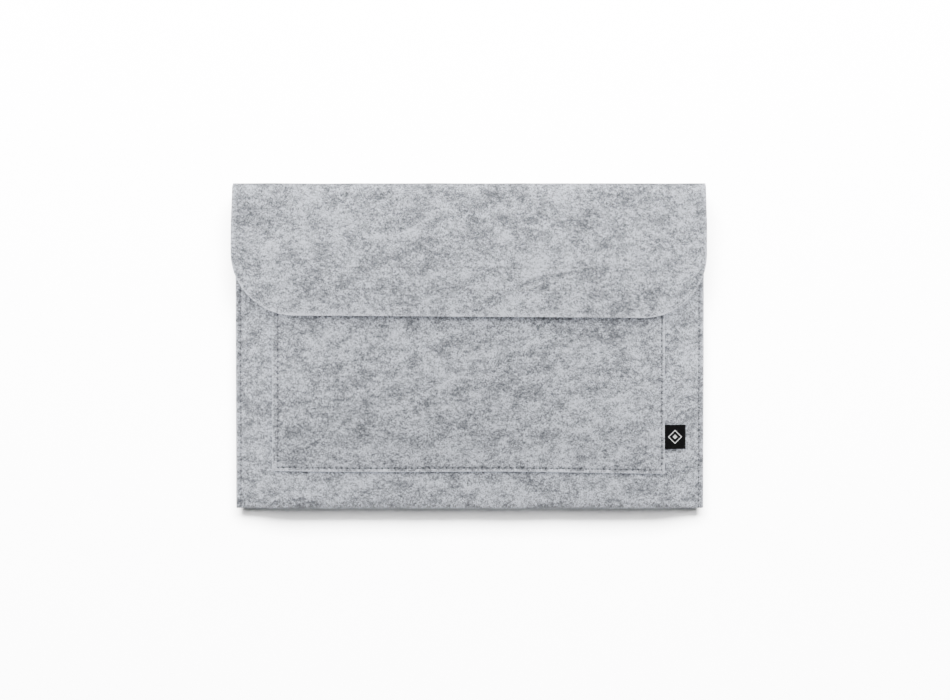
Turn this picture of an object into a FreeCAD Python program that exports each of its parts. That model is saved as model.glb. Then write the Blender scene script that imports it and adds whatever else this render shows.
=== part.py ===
"""Felt laptop sleeve lying on its back, with a wrap-over flap, a stitched front pocket and a tape closure.

Frame: X runs across the sleeve, +Y towards the fold of the flap, +Z up from the back panel to the flap.
The origin is under the middle of the sleeve, on the surface that it lies on. Sizes are millimetres.
The felt is one folded blank: the body (back, bottom fold and front), the top fold and the flap
are its stretches between the two creases that work as hinges.
"""
import FreeCAD, Part
import math
import os
import Sketcher

DRIVING_SIZES = [
    # the folded blank
    ("sleeve_width", 380.0),      # over the two sewn edges
    ("sleeve_height", 262.0),     # bottom fold to top fold
    ("felt", 3.0),                # felt as bought
    ("seam_felt", 2.4),           # one layer of felt where a seam presses it
    ("laptop_room", 12.5),        # inside depth of the compartment
    ("flange_width", 6.0),        # flat sewn edge outside the compartment
    ("side_slope", 12.0),         # run from the sewn edge to the compartment's full depth
    ("parting_gap", 0.2),         # air between the two layers at the sewn edge
    ("bottom_radius", 3.5),       # outer radius of the two bottom creases
    ("mouth_setback", 20.0),      # front panel's top edge, below the top fold
    ("strip_lap", 6.0),           # flat strip by the hinge, reaching in under the mouth
    ("hinge_play", 0.3),          # air between a panel's end and the crease's knuckle
    # flap
    ("flap_overhang", 1.0),       # past the sleeve's sewn edge, each side
    ("flap_length", 107.0),       # top fold to the flap's lower edge
    ("flap_corner", 52.0),        # radius of the lower corners
    # front pocket
    ("pocket_margin", 32.0),      # sleeve's edge to the pocket's edge, each side
    ("pocket_rise", 30.0),        # pocket's lower edge above the bottom fold
    ("pocket_lap", 7.0),          # pocket's mouth above the tape sewn to it
    ("pocket_room", 4.8),         # how far the pocket stands open
    ("pocket_flange", 7.0),       # flat sewn edge of the pocket
    ("pocket_slope", 40.0),       # run from the sewn edge to the full opening
    # hook and loop tape
    ("tape_end", 87.5),           # sleeve's edge to the tape's end, each side
    ("tape_width", 20.0),
    ("tape_base", 0.5),           # woven ground of the tape
    ("tape_pile", 0.6),           # hooks or loops standing on the ground
    ("tape_selvedge", 1.8),       # bare edge that the seam runs in
    ("tape_play", 0.2),           # air between the two tapes
    ("tape_rise", 20.0),          # tape's lower edge above the flap's lower edge
    # woven label
    ("label_length", 16.0),       # free tab, out of the pocket's edge
    ("label_height", 19.5),
    ("label_thick", 0.8),         # two layers of ribbon
    ("label_rise", 18.5),         # above the pocket's lower edge
    ("label_tuck", 6.0),          # sewn in under the pocket
    ("label_play", 0.2),
    # thread
    ("seam_inset", 3.7),          # seam from the felt's edge
    ("tape_inset", 0.9),          # seam from the tape's edge
    ("stitch", 4.7),              # longest stitch
    ("thread", 0.5),              # diameter
    ("hole_half", 0.4),           # half the distance between two stitches in one needle hole
    ("lock_gap", 0.15),           # air between the needle thread and the bobbin thread
]

doc = FreeCAD.newDocument("laptop_sleeve")
sheet = doc.addObject("Spreadsheet::Sheet", "sheet")
for row, (alias, size) in enumerate(DRIVING_SIZES, start=1):
    sheet.set("A%d" % row, alias)
    sheet.set("B%d" % row, str(size))
    sheet.setAlias("B%d" % row, alias)
doc.recompute()

# Places worked out from the driving sizes, as expressions on the sheet.
FLOOR = "0"                          # the surface that the sleeve lies on
HALF_WIDTH = "sheet.sleeve_width / 2"
HALF_HEIGHT = "sheet.sleeve_height / 2"
FLANGE_START = "(sheet.sleeve_width / 2 - sheet.flange_width)"
HALF_ROOM = "(%s - sheet.side_slope)" % FLANGE_START
HALF_FLAP = "(sheet.sleeve_width / 2 + sheet.flap_overhang)"
HALF_POCKET = "(sheet.sleeve_width / 2 - sheet.pocket_margin)"
HALF_TAPE = "(sheet.sleeve_width / 2 - sheet.tape_end)"
MIDDLE = "(sheet.felt + sheet.laptop_room / 2)"
FRONT = "(2 * sheet.felt + sheet.laptop_room)"
MOUTH = "(sheet.sleeve_height / 2 - sheet.mouth_setback)"
PANEL_END = "(sheet.sleeve_height / 2 - sheet.felt - sheet.hinge_play)"
CREASE = "(sheet.sleeve_height / 2 - sheet.felt / 2)"
POCKET_LOW = "(sheet.pocket_rise - sheet.sleeve_height / 2)"
POCKET_IN = "(%s + sheet.pocket_room)" % FRONT
POCKET_OUT = "(%s + sheet.felt)" % POCKET_IN
TAPE_STACK = "(2 * sheet.tape_base + 2 * sheet.tape_pile + sheet.tape_play)"
FLAP_UNDER = "(%s + %s)" % (POCKET_OUT, TAPE_STACK)
FLAP_TOP = "(%s + sheet.felt)" % FLAP_UNDER
FLAP_LOW = "(sheet.sleeve_height / 2 - sheet.flap_length)"
TAPE_LOW = "(%s + sheet.tape_rise)" % FLAP_LOW
TAPE_HIGH = "(%s + sheet.tape_width)" % TAPE_LOW
POCKET_HIGH = "(%s + sheet.pocket_lap)" % TAPE_HIGH
LABEL_LOW = "(%s + sheet.label_rise)" % POCKET_LOW
LABEL_AXIS_X = "(%s + sheet.label_play + sheet.label_thick / 2)" % HALF_POCKET
LABEL_UNDER = "(%s + sheet.label_play / 2)" % FRONT
LABEL_AXIS_Z = "(%s + sheet.label_thick / 2)" % LABEL_UNDER

ACROSS = FreeCAD.Vector(0, 1, 0)     # from the bottom fold to the top fold
SIDEWAYS = FreeCAD.Vector(1, 0, 0)   # from the left seam to the right seam
THREAD_SIDES = 6
PLANE_TURNS = {
    "XY": FreeCAD.Rotation(),
    "XZ": FreeCAD.Rotation(FreeCAD.Vector(1, 0, 0), 90),
    "YZ": FreeCAD.Rotation(FreeCAD.Vector(1, 1, 1), 120),
}


def value(expression):
    """The number that an expression on the sheet gives."""
    found = sheet.evalExpression(expression)
    return float(getattr(found, "Value", found))


def negative(expression):
    """The same place on the other side of the frame's origin."""
    return "-(%s)" % expression


def bound(feature, **expressions):
    """Binds properties of a feature to expressions on the sheet. A double underscore stands for a dot."""
    for name, expression in expressions.items():
        feature.setExpression(name.replace("__", "."), expression)
    return feature


def pin(sketch, geometry, end, x, y):
    """Holds one end of a sketch element at (x, y), given as expressions."""
    for kind, axis, place in (("DistanceX", -2, x), ("DistanceY", -1, y)):
        if value(place) == 0.0:
            sketch.addConstraint(Sketcher.Constraint("PointOnObject", geometry, end, axis))
        else:
            index = sketch.addConstraint(Sketcher.Constraint(kind, -1, 1, geometry, end, value(place)))
            sketch.setExpression("Constraints[%d]" % index, place)


def outline(sketch, corners):
    """Draws a closed outline anticlockwise through (x, y) corners, or (x, y, radius) at a right angle."""
    places = []
    for index, corner in enumerate(corners):
        x, y = corner[:2]
        if len(corner) == 2:
            places.append((None, (x, y), (x, y)))
            continue
        before, after = corners[index - 1], corners[(index + 1) % len(corners)]
        ends = []
        for other in (before, after):
            step_x, step_y = value(other[0]) - value(x), value(other[1]) - value(y)
            sign_x = 0 if abs(step_x) < 1e-9 else (1 if step_x > 0 else -1)
            sign_y = 0 if abs(step_y) < 1e-9 else (1 if step_y > 0 else -1)
            ends.append(("%s + %d * (%s)" % (x, sign_x, corner[2]), "%s + %d * (%s)" % (y, sign_y, corner[2])))
        places.append((corner[2], ends[0], ends[1]))
    for index, (radius, start, end) in enumerate(places):
        if radius is not None:
            centre = FreeCAD.Vector(
                value(start[0]) + value(end[0]) - value(corners[index][0]),
                value(start[1]) + value(end[1]) - value(corners[index][1]), 0)
            first = FreeCAD.Vector(value(start[0]), value(start[1]), 0)
            last = FreeCAD.Vector(value(end[0]), value(end[1]), 0)
            away = FreeCAD.Vector(value(corners[index][0]), value(corners[index][1]), 0) - centre
            middle = centre + away.normalize() * value(radius)
            arc = sketch.addGeometry(Part.Arc(first, middle, last), False)
            pin(sketch, arc, 1, *start)
            pin(sketch, arc, 2, *end)
            size = sketch.addConstraint(Sketcher.Constraint("Radius", arc, value(radius)))
            sketch.setExpression("Constraints[%d]" % size, radius)
        following = places[(index + 1) % len(places)]
        first = FreeCAD.Vector(value(end[0]), value(end[1]), 0)
        last = FreeCAD.Vector(value(following[1][0]), value(following[1][1]), 0)
        line = sketch.addGeometry(Part.LineSegment(first, last), False)
        pin(sketch, line, 1, *end)
        pin(sketch, line, 2, *following[1])
    return sketch


def section(name, plane, corners):
    """A sketch of its own on one of the frame's planes."""
    sketch = doc.addObject("Sketcher::SketchObject", name)
    sketch.Placement = FreeCAD.Placement(FreeCAD.Vector(), PLANE_TURNS[plane])
    return outline(sketch, corners)


def extrusion(name, sketch, direction, forward, backward):
    """Extrudes a sketch from the plane that it lies in, forward and backward by expressions."""
    solid = doc.addObject("Part::Extrusion", name)
    solid.Base = sketch
    solid.DirMode = "Custom"
    solid.Dir = direction
    solid.Solid = True
    return bound(solid, LengthFwd=forward, LengthRev=backward)


def box(name, x, y, z, length, width, height):
    """A block from its lowest corner and its sizes, all as expressions."""
    block = doc.addObject("Part::Box", name)
    return bound(block, Length=length, Width=width, Height=height,
                 Placement__Base__x=x, Placement__Base__y=y, Placement__Base__z=z)


def boolean(kind, name, first, second):
    """Part::Cut, Part::Common or Part::Fuse of two objects."""
    result = doc.addObject("Part::" + kind, name)
    result.Base = first
    result.Tool = second
    return result


def mirrored(right_half):
    """A closed list of corners from those of the right half, bottom to top."""
    return right_half + [(negative(x), y) for x, y in reversed(right_half)]


def round_bar(name, axis, radius, length, turn, x, y, z):
    """A cylinder of a knuckle or fold, turned onto a row axis."""
    bar = doc.addObject("Part::Cylinder", name)
    bar.Placement = FreeCAD.Placement(FreeCAD.Vector(), FreeCAD.Rotation(axis, turn))
    return bound(bar, Radius=radius, Height=length,
                 Placement__Base__x=x, Placement__Base__y=y, Placement__Base__z=z)


def sleeve_body():
    """Back panel, bottom fold and front panel of the blank, open at the mouth, with its strip by the hinge."""
    shell_corners = mirrored([
        (HALF_ROOM, FLOOR),
        (FLANGE_START, "%s - sheet.seam_felt" % MIDDLE),
        (HALF_WIDTH, "%s - sheet.seam_felt" % MIDDLE),
        (HALF_WIDTH, "%s + sheet.seam_felt" % MIDDLE),
        (FLANGE_START, "%s + sheet.seam_felt" % MIDDLE),
        (HALF_ROOM, FRONT)])
    shell = extrusion("shell", section("shell_section", "XZ", shell_corners), ACROSS, MOUTH, HALF_HEIGHT)
    fold_corners = [
        (negative(HALF_HEIGHT), FLOOR, "sheet.bottom_radius"),
        (HALF_HEIGHT, FLOOR),
        (HALF_HEIGHT, FRONT),
        (negative(HALF_HEIGHT), FRONT, "sheet.bottom_radius")]
    fold = extrusion("fold", section("fold_profile", "YZ", fold_corners), SIDEWAYS, HALF_WIDTH, HALF_WIDTH)
    folded = boolean("Common", "folded_shell", shell, fold)
    past_edge = "%s + sheet.felt" % HALF_WIDTH
    room_corners = mirrored([
        (HALF_ROOM, "sheet.felt"),
        (FLANGE_START, "%s - sheet.parting_gap / 2" % MIDDLE),
        (past_edge, "%s - sheet.parting_gap / 2" % MIDDLE),
        (past_edge, "%s + sheet.parting_gap / 2" % MIDDLE),
        (FLANGE_START, "%s + sheet.parting_gap / 2" % MIDDLE),
        (HALF_ROOM, "%s - sheet.felt" % FRONT)])
    room = extrusion("room", section("room_section", "XZ", room_corners), ACROSS,
                     "%s + sheet.felt" % MOUTH, "%s - sheet.felt" % HALF_HEIGHT)
    walls = boolean("Cut", "walls", folded, room)
    strip_start = "(%s - sheet.strip_lap)" % MOUTH
    strip = box("hinge_strip", negative(HALF_FLAP), strip_start, FLOOR,
                "2 * " + HALF_FLAP, "%s - %s" % (PANEL_END, strip_start), "sheet.felt")
    return boolean("Fuse", "sleeve_body", walls, strip)


def top_fold():
    """Stretch of the blank between the two creases, with a round knuckle on each crease's axis."""
    slab = box("top_fold_slab", negative(HALF_FLAP), "%s - sheet.felt" % HALF_HEIGHT, "sheet.felt / 2",
               "2 * " + HALF_FLAP, "sheet.felt", "%s - sheet.felt" % FLAP_TOP)
    lower = round_bar("lower_knuckle", ACROSS, "sheet.felt / 2", "2 * " + HALF_FLAP, 90,
                      negative(HALF_FLAP), CREASE, "sheet.felt / 2")
    upper = round_bar("upper_knuckle", ACROSS, "sheet.felt / 2", "2 * " + HALF_FLAP, 90,
                      negative(HALF_FLAP), CREASE, "%s - sheet.felt / 2" % FLAP_TOP)
    fold = doc.addObject("Part::MultiFuse", "top_fold")
    fold.Shapes = [slab, lower, upper]
    return fold


def body_sketch(body, name, height, corners):
    """A sketch in a body, on its XY plane lifted by an expression."""
    sketch = body.newObject("Sketcher::SketchObject", name)
    plane = [f for f in body.Origin.OriginFeatures if f.Role == "XY_Plane"][0]
    sketch.AttachmentSupport = (plane, [""])
    sketch.MapMode = "FlatFace"
    bound(sketch, AttachmentOffset__Base__z=height)
    return outline(sketch, corners)


def pad(body, name, sketch, thickness, down=False):
    """Pads a sketch by an expression, upwards or down."""
    solid = body.newObject("PartDesign::Pad", name)
    solid.Profile = sketch
    solid.Reversed = down
    sketch.Visibility = False
    return bound(solid, Length=thickness)


def rectangle(x_low, y_low, x_high, y_high):
    """The corners of a rectangle, anticlockwise from the lowest."""
    return [(x_low, y_low), (x_high, y_low), (x_high, y_high), (x_low, y_high)]


def flap_panel():
    """Stretch of the blank that closes over the front, with large rounded lower corners."""
    body = doc.addObject("PartDesign::Body", "flap_panel")
    corners = [
        (negative(HALF_FLAP), FLAP_LOW, "sheet.flap_corner"),
        (HALF_FLAP, FLAP_LOW, "sheet.flap_corner"),
        (HALF_FLAP, PANEL_END),
        (negative(HALF_FLAP), PANEL_END)]
    pad(body, "flap_pad", body_sketch(body, "flap_outline", FLAP_UNDER, corners), "sheet.felt")
    return body


def pocket_panel():
    """Separate felt panel sewn to the front along its sides and bottom, standing open at its mouth."""
    half = HALF_POCKET
    half_void = "(%s - sheet.pocket_flange)" % HALF_POCKET
    half_top = "(%s - sheet.pocket_slope)" % half_void
    low_void = "(%s + sheet.pocket_flange)" % POCKET_LOW
    low_top = "(%s + sheet.pocket_slope)" % low_void
    past_mouth = "(%s + sheet.felt)" % POCKET_HIGH
    flange_top = "%s + sheet.seam_felt" % FRONT
    outer_across = mirrored([(half, FRONT), (half, flange_top), (half_void, flange_top), (half_top, POCKET_OUT)])
    outer_along = [(POCKET_LOW, FRONT), (POCKET_HIGH, FRONT), (POCKET_HIGH, POCKET_OUT),
                   (low_top, POCKET_OUT), (low_void, flange_top), (POCKET_LOW, flange_top)]
    void_across = mirrored([(half_void, FRONT), (half_top, POCKET_IN)])
    void_along = [(low_void, FRONT), (past_mouth, FRONT), (past_mouth, POCKET_IN), (low_top, POCKET_IN)]
    outside = boolean(
        "Common", "pocket_outside",
        extrusion("pocket_across", section("pocket_section", "XZ", outer_across), ACROSS,
                  POCKET_HIGH, negative(POCKET_LOW)),
        extrusion("pocket_along", section("pocket_profile", "YZ", outer_along), SIDEWAYS, half, half))
    inside = boolean(
        "Common", "pocket_inside",
        extrusion("void_across", section("void_section", "XZ", void_across), ACROSS,
                  past_mouth, negative(POCKET_LOW)),
        extrusion("void_along", section("void_profile", "YZ", void_along), SIDEWAYS, half, half))
    shell = boolean("Cut", "pocket_shell", outside, inside)
    recess = box("label_recess", "%s - sheet.label_tuck - sheet.label_play" % half,
                 "%s - sheet.label_play" % LABEL_LOW, FRONT,
                 "sheet.label_tuck + sheet.felt", "sheet.label_height + 2 * sheet.label_play",
                 "sheet.label_thick + sheet.label_play / 2")
    return boolean("Cut", "pocket_panel", shell, recess)


def tape(name, ground, facing_up):
    """One half of the hook and loop closure: a woven ground with a raised field inside its selvedge."""
    body = doc.addObject("PartDesign::Body", name)
    half, high = HALF_TAPE, TAPE_HIGH
    edge = "sheet.tape_selvedge"
    pad(body, name + "_ground", body_sketch(body, name + "_ground_outline", ground, rectangle(
        negative(half), TAPE_LOW, half, high)), "sheet.tape_base", down=not facing_up)
    face = "%s %s sheet.tape_base" % (ground, "+" if facing_up else "-")
    field = rectangle(negative("%s - %s" % (half, edge)), "%s + %s" % (TAPE_LOW, edge),
                      "%s - %s" % (half, edge), "%s - %s" % (high, edge))
    pad(body, name + "_field", body_sketch(body, name + "_field_outline", face, field),
        "sheet.tape_pile", down=not facing_up)
    return body


def label_tab():
    """Free part of the folded ribbon, round at its hinge line and at its fold."""
    slab = box("label_slab", LABEL_AXIS_X, LABEL_LOW, LABEL_UNDER,
               "sheet.label_length - sheet.label_thick - sheet.label_play", "sheet.label_height",
               "sheet.label_thick")
    root = round_bar("label_knuckle", SIDEWAYS, "sheet.label_thick / 2", "sheet.label_height", -90,
                     LABEL_AXIS_X, LABEL_LOW, LABEL_AXIS_Z)
    tip = round_bar("label_loop", SIDEWAYS, "sheet.label_thick / 2", "sheet.label_height", -90,
                    "%s + sheet.label_length - sheet.label_thick - sheet.label_play" % LABEL_AXIS_X,
                    LABEL_LOW, LABEL_AXIS_Z)
    tab = doc.addObject("Part::MultiFuse", "label_tab")
    tab.Shapes = [slab, root, tip]
    return tab


def label_root():
    """Ends of the ribbon, caught in the pocket's seam."""
    return box("label_root", "%s - sheet.label_tuck" % HALF_POCKET, LABEL_LOW, FRONT,
               "sheet.label_tuck", "sheet.label_height", "sheet.label_thick")


def staple(length, surface, lock):
    """One stitch lying along +X on a surface, with both ends turned through the felt to the lock's height.

    The thread has few sides, because the hundreds of stitches have to stay light.
    """
    radius = value("sheet.thread") / 2
    first, last = value("sheet.hole_half"), length - value("sheet.hole_half")
    inward = 1.0 if surface > lock else -1.0
    run = surface - inward * radius / 2
    stop = lock + inward * value("sheet.lock_gap") / 2
    path = Part.makePolygon([FreeCAD.Vector(first, 0, stop), FreeCAD.Vector(first, 0, run),
                             FreeCAD.Vector(last, 0, run), FreeCAD.Vector(last, 0, stop)])
    corners = [2 * math.pi * side / THREAD_SIDES for side in range(THREAD_SIDES + 1)]
    ring = Part.makePolygon([FreeCAD.Vector(first + radius * math.cos(turn), radius * math.sin(turn), stop)
                             for turn in corners])
    return Part.Wire(path.Edges).makePipeShell([Part.Wire(ring.Edges)], True, False, 1)


def seam(name, rows, surface, other_surface):
    """The thread on one face of a seam, a solid for each stitch, along straight (x, y) to (x, y) rows."""
    face, other = value(surface), value(other_surface)
    stitches = []
    for (x_start, y_start), (x_end, y_end) in rows:
        start = FreeCAD.Vector(value(x_start), value(y_start), 0)
        run = FreeCAD.Vector(value(x_end), value(y_end), 0) - start
        count = round(run.Length / value("sheet.stitch"))
        length = run.Length / count
        one = staple(length, face, (face + other) / 2)
        turn = FreeCAD.Rotation(SIDEWAYS, run)
        for index in range(count):
            stitch = one.copy()
            stitch.Placement = FreeCAD.Placement(start + run * (index / count), turn)
            stitches.append(stitch)
    thread = doc.addObject("Part::Feature", name)
    thread.Shape = Part.makeCompound(stitches)
    return thread


def lockstitch(name, rows, upper, lower):
    """Both threads of a seam: the needle's on the upper face, and the bobbin's on the lower."""
    return [seam(name + "_needle_thread", rows, upper, lower),
            seam(name + "_bobbin_thread", rows, lower, upper)]


def side_seams():
    """A straight seam down each open side of the folded body."""
    low = negative("(%s - sheet.seam_inset)" % HALF_HEIGHT)
    high = "%s - sheet.seam_inset" % MOUTH
    upper, lower = "%s + sheet.seam_felt" % MIDDLE, "%s - sheet.seam_felt" % MIDDLE
    across = "(%s - sheet.seam_inset)" % HALF_WIDTH
    return (lockstitch("left_seam", [((negative(across), high), (negative(across), low))], upper, lower)
            + lockstitch("right_seam", [((across, low), (across, high))], upper, lower))


def pocket_seam():
    """One seam down the pocket's left side, along its bottom and up its right side."""
    across = "(%s - sheet.seam_inset)" % HALF_POCKET
    low = "(%s + sheet.seam_inset)" % POCKET_LOW
    high = "(%s - sheet.seam_inset)" % POCKET_HIGH
    rows = [((negative(across), high), (negative(across), low)),
            ((negative(across), low), (across, low)),
            ((across, low), (across, high))]
    return lockstitch("pocket_seam", rows, "%s + sheet.seam_felt" % FRONT, "%s - sheet.felt" % FRONT)


def tape_seams():
    """A seam round each tape, on its selvedge."""
    half = "(%s - sheet.tape_inset)" % HALF_TAPE
    low = "(%s + sheet.tape_inset)" % TAPE_LOW
    high = "(%s - sheet.tape_inset)" % TAPE_HIGH
    corners = rectangle(negative(half), low, half, high)
    rows = [(corners[index], corners[(index + 1) % 4]) for index in range(4)]
    return (lockstitch("loop_tape", rows, "%s + sheet.tape_base" % POCKET_OUT, POCKET_IN)
            + lockstitch("hook_tape", rows, FLAP_TOP, "%s - sheet.tape_base" % FLAP_UNDER))


def build():
    """Makes every sub-part, checks it, and writes it to parts/."""
    parts = [sleeve_body(), top_fold(), flap_panel(), pocket_panel(),
             tape("loop_tape", POCKET_OUT, facing_up=True), tape("hook_tape", FLAP_UNDER, facing_up=False),
             label_tab(), label_root()]
    parts += side_seams() + pocket_seam() + tape_seams()
    doc.recompute()
    for item in doc.Objects:
        if "Invalid" in item.State or "Error" in item.State:
            raise RuntimeError("%s failed: %s" % (item.Label, item.State))
    for sketch in doc.findObjects("Sketcher::SketchObject"):
        if sketch.solve() != 0:
            raise RuntimeError("%s does not solve" % sketch.Label)
    os.makedirs("parts", exist_ok=True)
    for part in parts:
        shape = part.Shape
        if shape.isNull() or not shape.isValid() or not shape.Solids:
            raise RuntimeError("%s has no valid solid" % part.Label)
        shape.exportStep(os.path.join("parts", part.Label + ".step"))
        bounds = shape.BoundBox
        print("%-28s solids %4d volume %10.1f  x %7.1f %7.1f  y %7.1f %7.1f  z %6.2f %6.2f" % (
            part.Label, len(shape.Solids), shape.Volume, bounds.XMin, bounds.XMax,
            bounds.YMin, bounds.YMax, bounds.ZMin, bounds.ZMax))


build()
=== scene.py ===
"""Looks of a felt laptop sleeve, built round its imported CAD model.

The sleeve lies on its back. X runs across it, +Y points at the fold of its flap and +Z out of its front.
Every panel of felt is cut flat as a thick sheet, in flat coordinates: u across the sleeve, s along the
felt and h through it. It is then folded along a track, which is the line that the middle of the felt
follows from one cut end to the other. Threads, tapes and material patterns use the same coordinates, so
all of them follow the felt. Lengths are metres.
"""
from __future__ import annotations

import logging
import math
from dataclasses import dataclass, field
from enum import Enum
from typing import Callable, Sequence

import bpy
import numpy as np
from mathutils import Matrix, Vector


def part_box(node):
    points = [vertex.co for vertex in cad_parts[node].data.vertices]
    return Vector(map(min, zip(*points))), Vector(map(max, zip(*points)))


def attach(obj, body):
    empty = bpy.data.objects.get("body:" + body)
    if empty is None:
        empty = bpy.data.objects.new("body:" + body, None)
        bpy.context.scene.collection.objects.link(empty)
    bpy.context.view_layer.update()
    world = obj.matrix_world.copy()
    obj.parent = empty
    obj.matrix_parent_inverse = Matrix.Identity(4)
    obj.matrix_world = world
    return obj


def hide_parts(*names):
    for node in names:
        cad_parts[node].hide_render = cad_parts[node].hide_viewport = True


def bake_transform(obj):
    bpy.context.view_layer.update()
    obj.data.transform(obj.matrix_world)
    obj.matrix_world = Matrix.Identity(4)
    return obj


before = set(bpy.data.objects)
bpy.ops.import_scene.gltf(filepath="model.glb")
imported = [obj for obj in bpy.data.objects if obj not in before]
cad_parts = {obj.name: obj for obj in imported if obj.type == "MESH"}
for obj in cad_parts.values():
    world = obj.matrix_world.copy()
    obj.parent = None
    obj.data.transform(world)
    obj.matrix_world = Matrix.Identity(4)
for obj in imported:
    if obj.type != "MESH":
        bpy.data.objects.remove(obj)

LOG = logging.getLogger("sleeve")
MM = 0.001
HALF_BODY = 190 * MM
CAD_THREAD = 0.3 * MM
Array = np.ndarray
Piece = bpy.types.Object
Material = bpy.types.Material
Socket = bpy.types.NodeSocket
Flat = tuple[float, float]
Point = tuple[float, float, float]
Colour = tuple[float, float, float]
Pattern = tuple[Array, list[tuple[int, ...]]]


# ---------------------------------------------------------------- shapes of lines and fields

def ease(value: Array, start: float, end: float) -> Array:
    """Rises smoothly from 0 at start to 1 at end, which may lie either way round."""
    share = np.clip((np.asarray(value, float) - start) / (end - start), 0.0, 1.0)
    return share * share * (3.0 - 2.0 * share)


def ramp(value: Array, start: float, end: float, rounding: float = 0.12) -> Array:
    """Rises evenly from 0 at start to 1 at end, with rounded corners."""
    share = (np.asarray(value, float) - start) / (end - start)
    return 0.5 * (1 + np.sqrt(share ** 2 + rounding ** 2) - np.sqrt((1 - share) ** 2 + rounding ** 2))


@dataclass(frozen=True)
class Ripple:
    """Slow unevenness of a soft panel: a sum of a few long waves that never repeats across the panel.

    Attributes:
        seed: Start of the random draws.
        height: About the greatest height of the sum.
        shortest: Length of the shortest wave.
        longest: Length of the longest wave.
        waves: Number of waves.
    """

    seed: int
    height: float
    shortest: float
    longest: float
    waves: int = 9

    def at(self, u: Array, s: Array) -> Array:
        """Height of the unevenness at flat places.

        Args:
            u: Places across the sheet.
            s: Places along the sheet.

        Returns:
            Heights, about as large as the ripple's own height at most.
        """
        rng = np.random.default_rng(self.seed)
        total = np.zeros(np.broadcast(u, s).shape)
        for _ in range(self.waves):
            length = rng.uniform(self.shortest, self.longest)
            heading, phase = rng.uniform(0.0, math.tau, 2)
            run = np.asarray(u) * math.cos(heading) + np.asarray(s) * math.sin(heading)
            total = total + np.sin(math.tau * run / length + phase)
        return total * self.height / math.sqrt(self.waves)


@dataclass(frozen=True)
class Stretch:
    """A straight or evenly bent length of a track, with its turn in radians, anticlockwise."""

    length: float
    turn: float = 0.0


@dataclass(frozen=True)
class Track:
    """Line of the middle of a sheet in an upright plane, made of straight and round stretches."""

    start: tuple[float, float]
    heading: float
    stretches: tuple[Stretch, ...]

    @property
    def length(self) -> float:
        """Length of the whole line."""
        return sum(stretch.length for stretch in self.stretches)

    def place(self, s: Array) -> tuple[Array, Array]:
        """Finds points on the line, which runs on straight past both of its ends.

        Args:
            s: Distances from the line's start.

        Returns:
            Places along the ground and heights.
        """
        s = np.asarray(s, float)
        along = self.start[0] + s * math.cos(self.heading)
        up = self.start[1] + s * math.sin(self.heading)
        x, y, heading, gone = self.start[0], self.start[1], self.heading, 0.0
        for stretch in self.stretches:
            here = s > gone
            rest = s - gone
            if stretch.turn:
                radius = stretch.length / stretch.turn
                angle = heading + rest / radius
                new_x = x + radius * (np.sin(angle) - math.sin(heading))
                new_y = y - radius * (np.cos(angle) - math.cos(heading))
                end = heading + stretch.turn
                x += radius * (math.sin(end) - math.sin(heading))
                y -= radius * (math.cos(end) - math.cos(heading))
                heading = end
            else:
                new_x = x + rest * math.cos(heading)
                new_y = y + rest * math.sin(heading)
                x += stretch.length * math.cos(heading)
                y += stretch.length * math.sin(heading)
            along, up = np.where(here, new_x, along), np.where(here, new_y, up)
            gone += stretch.length
        past = s > gone
        along = np.where(past, x + (s - gone) * math.cos(heading), along)
        up = np.where(past, y + (s - gone) * math.sin(heading), up)
        return along, up


def quarter(radius: float) -> Stretch:
    """An anticlockwise quarter turn of this radius."""
    return Stretch(radius * math.pi / 2, math.pi / 2)


# ---------------------------------------------------------------- stitching

GROOVE_REACH = 1.05 * MM
HOLE_REACH = 0.80 * MM
DISH = 0.16 * MM
DISH_REACH = 3.2 * MM


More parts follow.
